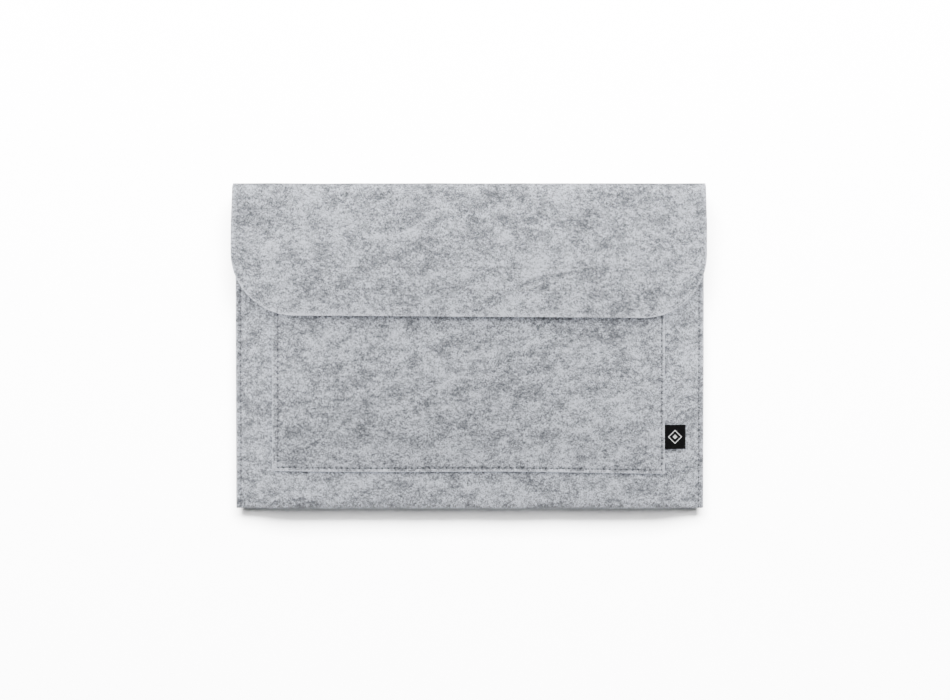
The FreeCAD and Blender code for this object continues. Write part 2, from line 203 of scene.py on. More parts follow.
@dataclass
class SeamLine:
    """A line of lockstitch over a flat sheet, through straight runs between its corners.

    Attributes:
        corners: Flat (u, s) corners, in order.
        stitch: Longest stitch.
        closed: Whether the line returns to its first corner.
        groove: Depth that the thread draws the felt in.
        hole: Further depth at each needle hole.
        across: Share of that depth on the runs that go across the sheet.
    """

    corners: list[tuple[float, float]]
    stitch: float = 4.7 * MM
    closed: bool = False
    groove: float = 0.50 * MM
    hole: float = 0.85 * MM
    across: float = 1.0

    def runs(self) -> list[tuple[Array, Array]]:
        """Start and end of each straight run."""
        points = [np.array(corner) for corner in self.corners]
        ends = points[1:] + points[:1] if self.closed else points[1:]
        return list(zip(points, ends))

    def stitches(self) -> list[tuple[Array, Array]]:
        """Start and end of each stitch, with the same equal division of each run as the CAD seam."""
        found = []
        for start, end in self.runs():
            count = round(float(np.linalg.norm(end - start)) / self.stitch)
            found += [(start + (end - start) * (i / count), start + (end - start) * ((i + 1) / count))
                      for i in range(count)]
        return found

    def distance(self, u: Array, s: Array) -> tuple[Array, Array]:
        """Distances from the seam and from its nearest needle hole.

        Args:
            u: Places across the sheet.
            s: Places along the sheet.

        Returns:
            Distance from the line, and distance from the nearest hole.
        """
        line = np.full(np.broadcast(u, s).shape, np.inf)
        hole = line.copy()
        for start, end in self.runs():
            run = end - start
            length = float(np.linalg.norm(run))
            count = round(length / self.stitch)
            from_u, from_s = u - start[0], s - start[1]
            near = np.clip((from_u * run[0] + from_s * run[1]) / length ** 2, 0.0, 1.0)
            at_hole = np.round(near * count) / count
            line = np.minimum(line, np.hypot(from_u - near * run[0], from_s - near * run[1]))
            hole = np.minimum(hole, np.hypot(from_u - at_hole * run[0], from_s - at_hole * run[1]))
        return line, hole

    def depth(self, u: Array, s: Array) -> Array:
        """How far the thread draws the felt in at flat places."""
        deepest = np.zeros(np.broadcast(u, s).shape)
        for start, end in self.runs():
            line, hole = SeamLine([start, end], self.stitch).distance(u, s)
            depth = (self.groove * np.exp(-(line / GROOVE_REACH) ** 2)
                     + DISH * np.exp(-(line / DISH_REACH) ** 2)
                     + self.hole * np.exp(-(hole / HOLE_REACH) ** 2))
            pull = self.across if abs(end[0] - start[0]) > abs(end[1] - start[1]) else 1.0
            deepest = np.maximum(deepest, pull * depth)
        return deepest


def tape_seam(half: float, near: float, far: float, **pull: float) -> SeamLine:
    """Closed seam round a tape that lies across the sheet.

    Args:
        half: Half its length.
        near: Place along the sheet of its first long side.
        far: Place of its second long side.
        pull: How the thread draws the felt in, as for any seam.

    Returns:
        The seam.
    """
    return SeamLine([(-half, near), (half, near), (half, far), (-half, far)], closed=True, **pull)


class Side(Enum):
    """Which face of a sheet a thread lies on."""

    OUTER = 1.0
    INNER = -1.0


# ---------------------------------------------------------------- mesh helpers

def deselect() -> None:
    """Leaves edit mode and deselects everything."""
    if bpy.context.object and bpy.context.object.mode != "OBJECT":
        bpy.ops.object.mode_set(mode="OBJECT")
    bpy.ops.object.select_all(action="DESELECT")


def points_of(piece: Piece) -> Array:
    """The vertices of a piece, one row each."""
    flat = np.empty(len(piece.data.vertices) * 3, np.float32)
    piece.data.vertices.foreach_get("co", flat)
    return flat.reshape(-1, 3).astype(float)


def move_points(piece: Piece, points: Array) -> None:
    """Puts the vertices of a piece at new places."""
    piece.data.vertices.foreach_set("co", points.astype(np.float32).ravel())
    piece.data.update()


def store(piece: Piece, name: str, values: Array) -> None:
    """Keeps a number or a vector for each vertex, for the materials to read."""
    kind = "FLOAT_VECTOR" if values.ndim == 2 else "FLOAT"
    attribute = piece.data.attributes.new(name, kind, "POINT")
    attribute.data.foreach_set("vector" if values.ndim == 2 else "value", values.astype(np.float32).ravel())


def mesh_piece(name: str, points: Array, faces: Sequence[Sequence[int]]) -> Piece:
    """A new piece from points and faces, shaded smooth."""
    mesh = bpy.data.meshes.new(name)
    mesh.from_pydata(points.tolist(), [], [list(face) for face in faces])
    mesh.shade_smooth()
    piece = bpy.data.objects.new(name, mesh)
    bpy.context.scene.collection.objects.link(piece)
    return piece


def take_mesh(model: Piece) -> Pattern:
    """Points and faces of a small model, which is then removed."""
    pattern = points_of(model), [tuple(face.vertices) for face in model.data.polygons]
    bpy.data.objects.remove(model)
    return pattern


def flat_grid(name: str, low: Flat, size: Flat, counts: tuple[int, int]) -> Piece:
    """A new flat grid from its lowest corner, with this many faces each way."""
    deselect()
    bpy.ops.mesh.primitive_grid_add(x_subdivisions=counts[0], y_subdivisions=counts[1], size=1.0)
    piece = bpy.context.object
    piece.name = piece.data.name = name
    points = points_of(piece)
    for axis in (0, 1):
        points[:, axis] = low[axis] + (points[:, axis] + 0.5) * size[axis]
    move_points(piece, points)
    return piece


def thicken(piece: Piece, thick: float, rim: float, segments: int,
            butted: Sequence[float] = ()) -> None:
    """Gives a flat sheet its thickness and rounds its cut edges.

    Args:
        piece: The flat sheet.
        thick: Its thickness.
        rim: Radius of its edges.
        segments: Number of faces round each edge.
        butted: Places along the sheet of the ends that stay sharp.
    """
    deselect()
    bpy.context.view_layer.objects.active = piece
    piece.select_set(True)
    solid = piece.modifiers.new("thickness", "SOLIDIFY")
    solid.thickness, solid.offset = thick, 0.0
    bpy.ops.object.modifier_apply(modifier=solid.name)
    bpy.ops.object.mode_set(mode="EDIT")
    bpy.ops.mesh.select_mode(type="EDGE")
    bpy.ops.mesh.select_all(action="DESELECT")
    bpy.ops.mesh.edges_select_sharp(sharpness=math.radians(60))
    bpy.ops.object.mode_set(mode="OBJECT")
    s = points_of(piece)[:, 1]
    for edge in piece.data.edges:
        if any(np.abs(s[list(edge.vertices)] - end).max() < 0.01 * MM for end in butted):
            edge.select = False
            edge.use_edge_sharp = True
    bpy.ops.object.mode_set(mode="EDIT")
    bpy.ops.mesh.bevel(offset=rim, segments=segments, profile=0.5, affect="EDGES", clamp_overlap=True)
    bpy.ops.object.mode_set(mode="OBJECT")


# ---------------------------------------------------------------- felt

REFINE_REACH = (4.0 * MM, 2.2 * MM, 1.2 * MM, 0.75 * MM)


@dataclass
class FoldedSheet:
    """A thick sheet that is cut flat and then folded along a track.

    Attributes:
        name: Name of the piece.
        half_width: Half its greatest width.
        track: Line of its middle, from its first cut end to its last.
        shape: Moves points of the middle surface from where the track puts them to where they lie.
        thick: Thickness as bought.
        press: Share of the thickness left at flat places, where a seam presses the sheet.
        corner: Radius of the two corners at the last cut end.
        seams: Lines of stitching that draw the sheet in.
        cell: Size of the mesh where nothing needs it finer.
        rim: Radius of the cut edges.
        ripple: Slow unevenness of its faces.
        pattern_start: Where the sheet lies along the pattern of its material.
        butted: Whether its first and its last end go on in another sheet, so they aren't rounded.
    """

    name: str
    half_width: float
    track: Track
    shape: Callable[[Array, Array, Array, Array], tuple[Array, Array, Array]]
    thick: float
    press: Callable[[Array, Array], Array]
    corner: float = 0.0
    seams: list[SeamLine] = field(default_factory=list)
    cell: float = 5.2 * MM
    rim: float = 0.75 * MM
    ripple: Ripple = Ripple(7, 0.12 * MM, 30 * MM, 130 * MM)
    pattern_start: float = 0.0
    butted: tuple[bool, bool] = (False, False)

    def middle(self, u: Array, s: Array) -> Array:
        """Points of the middle surface at flat places."""
        along, up = self.track.place(s)
        return np.stack(self.shape(u, s, along, up), axis=-1)

    def point(self, u: Array, s: Array, height: Array) -> Array:
        """Points at a real distance from the middle surface.

        Args:
            u: Places across the sheet.
            s: Places along the sheet.
            height: Distances from the middle surface, positive towards the outer face.

        Returns:
            Points in the frame, one row each.
        """
        step = 0.25 * MM
        across = self.middle(u + step, s) - self.middle(u - step, s)
        onward = self.middle(u, s + step) - self.middle(u, s - step)
        normal = np.cross(onward, across)
        normal /= np.linalg.norm(normal, axis=-1, keepdims=True)
        return self.middle(u, s) + normal * np.asarray(height)[..., None]

    def drawn_in(self, u: Array, s: Array) -> Array:
        """How far all the stitching draws each face in."""
        total = np.zeros(np.broadcast(u, s).shape)
        for seam in self.seams:
            total = np.maximum(total, seam.depth(u, s))
        return total

    def face(self, u: Array, s: Array, side: Side) -> Array:
        """Height of a face over the middle surface at flat places."""
        half = self.thick / 2 * self.press(u, s) - self.drawn_in(u, s)
        return side.value * half + self.ripple.at(u, s) * (1.0 if side is Side.OUTER else 0.0)

    def cut(self) -> Piece:
        """Cuts the flat sheet, finer beside its seams and round corners.

        Returns:
            The piece, in flat coordinates.
        """
        size = 2 * self.half_width, self.track.length
        piece = flat_grid(self.name, (-self.half_width, 0.0), size,
                          (max(2, round(size[0] / self.cell)), max(2, round(size[1] / self.cell))))
        for level, reach in enumerate(REFINE_REACH):
            self._refine(piece, level, reach)
        if self.corner:
            points = points_of(piece)
            points[:, 0], points[:, 1] = self._outline(points[:, 0], points[:, 1])
            move_points(piece, points)
        ends = [end for end, butted in zip((0.0, size[1]), self.butted) if butted]
        thicken(piece, self.thick, self.rim, 3, ends)
        return piece

    def _refine(self, piece: Piece, level: int, reach: float) -> None:
        """Halves the faces near a seam or a round corner.

        Args:
            piece: The flat piece.
            level: How often the faces there were halved before.
            reach: How far from a seam the finer faces go.
        """
        cell = self.cell / 2 ** level
        centres = np.empty(len(piece.data.polygons) * 3, np.float32)
        piece.data.polygons.foreach_get("center", centres)
        u, s, _ = centres.reshape(-1, 3).T.astype(float)
        near = np.zeros(len(u), bool)
        for seam in self.seams:
            near |= seam.distance(u, s)[0] < 0.75 * cell + reach
        if self.corner and level < len(REFINE_REACH) - 1:
            edge = np.minimum(self.half_width - np.abs(u), self.track.length - s)
            in_corner = (np.abs(u) > self.half_width - self.corner) & (s > self.track.length - self.corner)
            near |= in_corner & (edge < cell * 1.6)
        if not near.any():
            return
        deselect()
        bpy.context.view_layer.objects.active = piece
        piece.select_set(True)
        bpy.ops.object.mode_set(mode="EDIT")
        bpy.ops.mesh.select_mode(type="FACE")
        bpy.ops.mesh.select_all(action="DESELECT")
        bpy.ops.object.mode_set(mode="OBJECT")
        piece.data.polygons.foreach_set("select", near)
        bpy.ops.object.mode_set(mode="EDIT")
        bpy.ops.mesh.subdivide(number_cuts=1)
        bpy.ops.object.mode_set(mode="OBJECT")

    def _outline(self, u: Array, s: Array) -> tuple[Array, Array]:
        """Rounds the last two corners."""
        start = self.track.length - self.corner
        a = np.clip((np.abs(u) - self.half_width + self.corner) / self.corner, 0.0, 1.0)
        b = np.clip((s - start) / self.corner, 0.0, 1.0)
        inside = (a > 0) & (b > 0)
        round_u = self.half_width - self.corner + self.corner * a * np.sqrt(1 - b * b / 2)
        round_s = start + self.corner * b * np.sqrt(1 - a * a / 2)
        return np.where(inside, np.sign(u) * round_u, u), np.where(inside, round_s, s)

    def _edge_paleness_and_highlight(self, u: Array, s: Array, h: Array) -> Array:
        """How close places are to a cut edge, from 0 to 1: there the felt is looser and paler, and the same
        mask paints a highlight where light catches the edge.
        """
        length = self.track.length
        inside = np.minimum(self.half_width - np.abs(u), length)
        for end, butted in zip((s, length - s), self.butted):
            if not butted:
                inside = np.minimum(inside, end)
        if self.corner:
            a = np.clip(np.abs(u) - self.half_width + self.corner, 0, None)
            b = np.clip(s - length + self.corner, 0, None)
            inside = np.minimum(inside, self.corner - np.hypot(a, b))
        near = 1 - ease(inside, 0.5 * MM, 1.7 * MM)
        return np.maximum(near, 1 - ease(np.abs(np.abs(h) - self.thick / 2), 0.0, 0.5 * MM) - 0.9)

    def make(self) -> Piece:
        """Cuts and folds the sheet.

        Returns:
            The finished piece, with its flat places kept for its material.
        """
        piece = self.cut()
        flat = points_of(piece)
        u, s, h = flat.T
        drawn = self.drawn_in(u, s)
        half = self.thick / 2
        share = h / half
        height = share * (half * self.press(u, s) - drawn) + np.clip(share, 0, 1) * self.ripple.at(u, s)
        move_points(piece, self.point(u, s, height))
        piece.data.flip_normals()
        store(piece, "flat_place", np.stack([u, s + self.pattern_start, h], axis=1))
        # Kept for the material, which paints shade where the stitching draws the felt in, in seam grooves and
        # needle holes.
        store(piece, "drawn", np.clip(drawn / (1.5 * MM), 0, 1))
        # The edge mask lightens the felt along cut edges: partly its own paler fibres, partly a painted
        # highlight.
        store(piece, "edge", self._edge_paleness_and_highlight(u, s, h))
        piece.data.shade_smooth()
        LOG.info("%s: %d faces", self.name, len(piece.data.polygons))
        return piece


# ---------------------------------------------------------------- finishes

class Tree:
    """Short hand for the node tree of one material."""

    def __init__(self, name: str) -> None:
        """Starts an empty material.

        Args:
            name: Name of the material.
        """
        self.material = bpy.data.materials.new(name)
        self.material.use_nodes = True
        self.nodes = self.material.node_tree.nodes
        self.links = self.material.node_tree.links
        self.nodes.clear()
        self.shader = self.nodes.new("ShaderNodeBsdfPrincipled")
        output = self.nodes.new("ShaderNodeOutputMaterial")
        self.links.new(self.shader.outputs["BSDF"], output.inputs["Surface"])

    def join(self, value: object, socket: Socket) -> None:
        """Sets a socket to a plain value, or links it to another node's output."""
        if isinstance(value, Socket):
            self.links.new(value, socket)
        else:
            socket.default_value = value

    def node(self, kind: str, *values: object, **settings: object) -> bpy.types.Node:
        """Adds a node.

        Args:
            kind: Type of the node, without the start that all types share.
            values: Plain values or other nodes' outputs, for its first inputs in order.
            settings: Its properties.

        Returns:
            The node.
        """
        node = self.nodes.new("ShaderNode" + kind)
        for name, setting in settings.items():
            setattr(node, name, setting)
        for value, socket in zip(values, node.inputs):
            self.join(value, socket)
        return node

    def kept(self, name: str, output: str = "Vector") -> Socket:
        """Reads what the mesh keeps for each vertex: a vector, or a number through the output Fac."""
        return self.node("Attribute", attribute_type="GEOMETRY", attribute_name=name).outputs[output]

    def math(self, kind: str, *values: object) -> Socket:
        """A sum, product or other operation on numbers."""
        return self.node("Math", *values, operation=kind).outputs[0]

    def sum_of(self, *terms: tuple[Socket, float]) -> Socket:
        """Adds up values by their weights."""
        total: object = 0.0
        for value, weight in terms:
            total = self.math("MULTIPLY_ADD", value, weight, total)
        return total

    def ribs(self, place: Socket, pitch: float) -> Socket:
        """Round ribs with this pitch, from 0 to 1."""
        return self.math("ABSOLUTE", self.math("SINE", self.math("MULTIPLY", place, math.pi / pitch)))

    def split(self, vector: Socket) -> tuple[Socket, ...]:
        """The three parts of a vector."""
        return tuple(self.node("SeparateXYZ", vector).outputs)

    def mapped(self, vector: Socket, turn: float, narrow: float) -> Socket:
        """Turns a place within the sheet by this many degrees, then draws it in along the first axis."""
        turned = self.node("VectorRotate", vector, rotation_type="Z_AXIS")
        turned.inputs["Angle"].default_value = math.radians(turn)
        return self.node("VectorMath", turned.outputs[0], (narrow, 1.0, 1.0), operation="MULTIPLY").outputs[0]

    def noise(self, place: Socket, scale: float, detail: float, rough: float, warp: float = 0.0) -> Socket:
        """Noise of about this many features for each unit of the place, from 0 to 1."""
        node = self.node("TexNoise", place, noise_type="FBM", normalize=True)
        for name, value in (("Scale", scale), ("Detail", detail), ("Roughness", rough), ("Distortion", warp)):
            node.inputs[name].default_value = value
        return node.outputs["Fac"]

    def ranged(self, value: Socket, low: float, high: float, to_low: float = 0.0, to_high: float = 1.0,
               kind: str = "SMOOTHSTEP") -> Socket:
        """Carries a range over to another one and holds it there, smoothly unless kind is LINEAR."""
        return self.node("MapRange", value, low, high, to_low, to_high, interpolation_type=kind).outputs[0]

    def mix(self, share: object, first: object, second: object, kind: str = "MIX") -> Socket:
        """Mixes two colours."""
        node = self.node("Mix", share, data_type="RGBA", blend_type=kind)
        for value, socket in zip((first, second), node.inputs[6:8]):
            self.join((*value, 1.0) if isinstance(value, tuple) else value, socket)
        return node.outputs[2]

    def relief(self, height: Socket, depth: float, strength: float = 1.0) -> None:
        """Adds small relief to the surface, as deep as this in metres."""
        node = self.node("Bump", strength, depth)
        self.links.new(height, node.inputs["Height"])
        self.links.new(node.outputs[0], self.shader.inputs["Normal"])

    def finish(self, colour: object, **values: float) -> Material:
        """Gives the surface its colour and its plain values.

        Args:
            colour: Its colour.
            values: Other values, by the names of the shader's inputs with _ for each space.

        Returns:
            The material.
        """
        self.join(colour, self.shader.inputs["Base Color"])
        for name, value in values.items():
            self.shader.inputs[name.replace("_", " ")].default_value = value
        return self.material


def shade(colour: Colour, share: float) -> Colour:
    """The same colour with this share of its light."""
    return tuple(part * share for part in colour)


@dataclass(frozen=True)
class FeltFinish:
    """Pressed grey felt: light and dark fibres mingled at every scale, from soft clouds down to flecks, with
    painted shade in its seams and a paler rim along cut edges that is partly a painted highlight.

    Attributes:
        name: Name of the material.
        tint: Colour of the felt, with its brightest part near 1.
        dark: Share of light that the darkest flecks give back.
        light: Share of light that the palest patches give back.
        tones: Sums of the fibres' weights that are darkest and palest.
        relief: Depth of the nap.
    """

    name: str = "grey_felt"
    tint: Colour = (0.862, 0.902, 1.0)
    dark: float = 0.162
    light: float = 1.00
    tones: tuple[float, float] = (1.485, 1.84)
    relief: float = 0.42 * MM

    def make(self) -> Material:
        """Builds the material."""
        tree = Tree(self.name)
        place = tree.kept("flat_place")
        cloud = tree.noise(tree.mapped(place, 16, 0.62), 78, 3, 0.8, 0.3)
        broad = tree.noise(tree.mapped(place, 35, 0.8), 16, 2, 0.5)
        fleck = tree.noise(tree.mapped(place, -6, 0.78), 340, 4, 1.0, 0.2)
        strands = [tree.noise(tree.mapped(place, turn, 0.3), scale, 2, 0.7, 0.35)
                   for turn, scale in ((14, 1500), (-31, 1700), (72, 1300))]
        speck = tree.ranged(tree.noise(place, 950, 2, 0.7), 0.46, 0.26, kind="LINEAR")
        dark_hair = tree.math("MINIMUM", tree.math("MINIMUM", strands[0], strands[1]), strands[2])
        pale_hair = tree.math("MAXIMUM", strands[1], strands[2])
        # Painted shade: the felt is darkened where stitching draws it in, in seam grooves and needle holes.
        drawn = tree.ranged(tree.kept("drawn", "Fac"), 0.42, 0.95)
        # The edge term lightens cut edges: partly the felt's own paler fibres, partly a painted highlight.
        tone = tree.sum_of((fleck, 1.25), (cloud, 0.62), (broad, 0.15), (dark_hair, 1.05), (pale_hair, 0.42),
                           (speck, -0.13), (tree.kept("edge", "Fac"), 0.16), (drawn, -0.32))
        share = tree.ranged(tone, *self.tones, kind="LINEAR")
        value = tree.math("MULTIPLY", tree.math("POWER", self.light / self.dark, share), self.dark)
        nap = tree.noise(place, 2600, 3, 0.7)
        tree.relief(tree.sum_of((nap, 0.35), (fleck, 0.9), (pale_hair, 0.35)), self.relief, 0.8)
        grey = tree.node("CombineColor", value, value, value).outputs[0]
        return tree.finish(tree.mix(1.0, grey, self.tint, "MULTIPLY"), Roughness=0.95,
                           Specular_IOR_Level=0.1, Sheen_Weight=0.25, Sheen_Roughness=0.45)


@dataclass(frozen=True)
class ThreadFinish:
    """Spun polyester sewing thread, a little darker than the felt."""

    colour: Colour = (0.22, 0.225, 0.24)

    def make(self) -> Material:
        """Builds the material."""
        tree = Tree("grey_thread")
        place = tree.kept("flat_place")
        lint = tree.noise(place, 4200, 3, 0.6)
        tone = tree.sum_of((lint, 0.6), (tree.noise(place, 320, 2, 0.5), 0.4))
        tree.relief(lint, 0.04 * MM)
        return tree.finish(tree.mix(tone, shade(self.colour, 0.8), shade(self.colour, 1.25)),
                           Roughness=0.7, Sheen_Weight=0.15)


@dataclass(frozen=True)
class TapeFinish:
    """Nylon tape: a woven ground, or the loops or hooks that stand on it.

    Attributes:
        name: Name of the material.
        colour: Colour of the nylon.
        rough: Roughness of its surface.
        woven: Whether it shows the ribs of a weave.
        warp: Distance between ribs along the tape's short way.
        weft: Distance between ribs along its long way.
    """

    name: str
    colour: Colour = (0.33, 0.335, 0.35)
    rough: float = 0.75
    woven: bool = True
    warp: float = 0.45 * MM
    weft: float = 0.6 * MM

    def make(self) -> Material:
        """Builds the material."""
        tree = Tree(self.name)
        place = tree.kept("flat_place")
        across, onward, _ = tree.split(place)
        tone = tree.noise(place, 260, 3, 0.6)
        height = tree.noise(place, 3800, 2, 0.5)
        if self.woven:
            weave = tree.math("MULTIPLY", tree.ribs(onward, self.warp), tree.ribs(across, self.weft))
            height = tree.math("MULTIPLY_ADD", height, 0.3, weave)
        tree.relief(height, 0.12 * MM)
        return tree.finish(tree.mix(tree.sum_of((tone, 0.5), (height, 0.5)), shade(self.colour, 0.72),
                                    shade(self.colour, 1.25)), Roughness=self.rough)


@dataclass(frozen=True)
class LabelFinish:
    """Woven label ribbon: fine black satin with a plain pale diamond on each face.

    Attributes:
        ground: Colour of the satin.
        figure: Colour of the diamond.
        lint: Colour of the dust that catches on the weave.
        diamond: Distance from the diamond's middle to its corners.
        line: Width of its outline.
        rib: Distance between the ribs of the weave.
    """

    ground: Colour = (0.0038, 0.0038, 0.0042)
    figure: Colour = (0.93, 0.93, 0.93)
    lint: Colour = (0.03, 0.03, 0.032)
    diamond: float = 5.2 * MM
    line: float = 0.9 * MM
    rib: float = 0.24 * MM

    def make(self, centres: Sequence[float]) -> Material:
        """Builds the material.

        Args:
            centres: Places along the ribbon of the middles of its two figures.

        Returns:
            The material.
        """
        tree = Tree("black_ribbon")
        place = tree.kept("flat_place")
        across, onward, _ = tree.split(place)
        shapes = []
        for centre in centres:
            along = tree.math("ABSOLUTE", tree.math("SUBTRACT", onward, centre))
            size = tree.math("ADD", tree.math("ABSOLUTE", across), along)
            outline = tree.math("ABSOLUTE", tree.math("SUBTRACT", size, self.diamond))
            ring = tree.ranged(outline, self.line * 0.42, self.line * 0.58, 1.0, 0.0)
            heart = tree.ranged(size, self.diamond * 0.34, self.diamond * 0.38, 1.0, 0.0)
            shapes.append(tree.math("MAXIMUM", ring, heart))
        figure = tree.math("MAXIMUM", *shapes)
        weave = tree.sum_of((tree.ribs(onward, self.rib), 0.65), (tree.ribs(across, self.rib * 1.6), 0.35))
        ground = tree.mix(weave, shade(self.ground, 0.55), shade(self.ground, 1.7))
        pale = tree.mix(weave, shade(self.figure, 0.72), self.figure)
        dust = tree.ranged(tree.noise(place, 2600, 3, 0.6), 0.60, 0.80, 0.0, 0.25)
        tree.relief(tree.math("MULTIPLY_ADD", figure, 0.5, weave), 0.07 * MM)
        return tree.finish(tree.mix(dust, tree.mix(figure, ground, pale), self.lint),
                           Roughness=0.6, Specular_IOR_Level=0.05)


def dress(piece: Piece, material: Material) -> None:
    """Gives a piece one material all over."""
    piece.data.materials.clear()
    piece.data.materials.append(material)


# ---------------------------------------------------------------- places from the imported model

class Places:
    """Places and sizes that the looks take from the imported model."""

    def __init__(self) -> None:
        """Reads the boxes of the felt pieces."""
        body_low, body_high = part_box("sleeve_body")
        spine_low, spine_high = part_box("top_fold")
        flap_low, flap_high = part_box("flap_panel")
        pocket_low, pocket_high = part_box("pocket_panel")
        self.felt = float(flap_high[2] - flap_low[2])
        self.half_body = HALF_BODY
        self.half_flap = float(flap_high[0])
        self.low = float(body_low[1])
        self.front_top = float(body_high[2])
        self.middle = self.front_top / 2
        self.spine_y = float(spine_high[1]) - self.felt / 2
        self.spine_top = float(spine_high[2])
        self.flap_low = float(flap_low[1])
        self.half_pocket = float(pocket_high[0])
        self.pocket_low, self.pocket_high = float(pocket_low[1]), float(pocket_high[1])


@dataclass
class FeltBlank:
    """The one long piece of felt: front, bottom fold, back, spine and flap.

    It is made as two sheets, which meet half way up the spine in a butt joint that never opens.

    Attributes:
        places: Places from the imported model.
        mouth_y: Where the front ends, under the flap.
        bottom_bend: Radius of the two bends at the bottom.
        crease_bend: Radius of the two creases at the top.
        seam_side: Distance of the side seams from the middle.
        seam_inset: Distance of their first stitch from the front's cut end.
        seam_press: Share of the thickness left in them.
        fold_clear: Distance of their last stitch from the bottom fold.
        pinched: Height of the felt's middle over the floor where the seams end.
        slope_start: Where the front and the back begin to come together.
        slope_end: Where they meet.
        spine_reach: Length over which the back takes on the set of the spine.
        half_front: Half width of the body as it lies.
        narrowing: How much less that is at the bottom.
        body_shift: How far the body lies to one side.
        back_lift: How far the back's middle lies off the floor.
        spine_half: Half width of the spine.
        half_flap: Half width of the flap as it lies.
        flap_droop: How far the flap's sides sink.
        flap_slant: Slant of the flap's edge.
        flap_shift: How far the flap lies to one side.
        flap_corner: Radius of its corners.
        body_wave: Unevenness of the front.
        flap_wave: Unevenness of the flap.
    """

    places: Places
    mouth_y: float = 111 * MM
    bottom_bend: float = 2.2 * MM
    crease_bend: float = 2.5 * MM
    seam_side: float = 186.0 * MM
    seam_inset: float = 3.7 * MM
    seam_press: float = 0.80
    fold_clear: float = 2.3 * MM
    pinched: float = 1.2 * MM
    slope_start: float = 155 * MM
    slope_end: float = 184.5 * MM
    spine_reach: float = 25 * MM
    half_front: float = 189.7 * MM
    narrowing: float = 0.45 * MM
    body_shift: float = 0.45 * MM
    back_lift: float = 0.27 * MM
    spine_half: float = 189.3 * MM
    half_flap: float = 191.3 * MM
    flap_droop: float = 7.0 * MM
    flap_slant: float = 0.0065
    flap_shift: float = -0.30 * MM
    flap_corner: float = 51.5 * MM
    body_wave: Ripple = Ripple(11, 0.30 * MM, 60 * MM, 190 * MM)
    flap_wave: Ripple = Ripple(23, 0.42 * MM, 70 * MM, 210 * MM)

    def __post_init__(self) -> None:
        """Works out both tracks."""
        p = self.places
        half = p.felt / 2
        self.joint_z = p.spine_top / 2
        self.front_length = self.mouth_y - (p.low + half + self.bottom_bend)
        wall = p.front_top - p.felt - 2 * self.bottom_bend
        self.back_start = self.front_length + wall + math.pi * self.bottom_bend
        self.back_length = (p.spine_y - self.crease_bend) - (p.low + half + self.bottom_bend)
        self.flat_end = self.back_start + self.back_length
        spine = self.joint_z - half - self.crease_bend
        self.body_track = Track((self.mouth_y, p.front_top - half), math.pi, (
            Stretch(self.front_length), quarter(self.bottom_bend), Stretch(wall), quarter(self.bottom_bend),
            Stretch(self.back_length), quarter(self.crease_bend), Stretch(spine)))
        upper = p.spine_top - half - self.crease_bend - self.joint_z
        self.flap_track = Track((p.spine_y, self.joint_z), math.pi / 2, (
            Stretch(upper), quarter(self.crease_bend),
            Stretch(p.spine_y - self.crease_bend - p.flap_low)))

    # -------------------------------------------------- where the felt lies

    def lie_body(self, u: Array, s: Array, y: Array, z: Array) -> tuple[Array, Array, Array]:
        """Brings front and back together at the side seams, and keeps the back off the floor."""
        p = self.places
        rise = p.middle - p.felt / 2
        seam_mid = p.middle - (rise - self.pinched) * ease(y, 88 * MM, 126 * MM)
        edge_z = seam_mid + (z - p.middle) * self.pinched / rise
        free = 1 - ramp(np.abs(u), self.slope_start, self.slope_end)
        free = free + (1 - free) * ease(s, self.flat_end - 8 * MM, self.flat_end)
        on_spine = ease(s, self.flat_end - self.spine_reach, self.flat_end)
        wave = self.body_wave.at(u, s) * free * (1 - on_spine) * ease(s, 0.0, 60 * MM)
        on_back = 1 - np.clip((z - p.felt / 2) / rise, 0.0, 1.0)
        lift = np.where(z > p.middle, wave, self.back_lift * on_back * (1 - on_spine))
        x = u * (self._half_body_at(y, on_spine) / p.half_body) + self.body_shift * (1 - on_spine)
        return x, y, edge_z + (z - edge_z) * free + lift

    def _half_body_at(self, y: Array, on_spine: Array) -> Array:
        """Half width of the sleeve, a little narrower at its foot and at its spine."""
        half = self.half_front - self.narrowing * ease(y, 40 * MM, -125 * MM)
        return half + (self.spine_half - half) * on_spine

    def lie_flap(self, u: Array, s: Array, y: Array, z: Array) -> tuple[Array, Array, Array]:
        """Lets the flap's sides sink, and gives its outline the set of hand-cut felt."""
        p = self.places
        on_flap = ease(s, 12 * MM, 45 * MM)
        sink = ease(np.abs(u), 96 * MM, 180 * MM) * ease(y, 127 * MM, 86 * MM)
        half = self.spine_half + (self.half_flap - self.spine_half) * ease(y, 130 * MM, 88 * MM)
        x = u * half / p.half_flap + self.flap_shift * on_flap
        wave = self.flap_wave.at(u, s) * on_flap
        return x, y - self.flap_slant * u * ease(y, 112 * MM, 36 * MM), z - self.flap_droop * sink + wave

    def press_body(self, u: Array, s: Array) -> Array:
        """The felt is pressed thinner in the side seams."""
        seam = ease(np.abs(u), self.slope_end - 5 * MM, self.slope_end + 1 * MM)
        before_spine = 1 - ease(s, self.flat_end - self.spine_reach, self.flat_end - 8 * MM)
        return 1 - (1 - self.seam_press) * seam * before_spine

    @staticmethod
    def press_none(u: Array, s: Array) -> Array:
        """The felt keeps its thickness."""
        return np.ones(np.broadcast(u, s).shape)

    # -------------------------------------------------- sheets

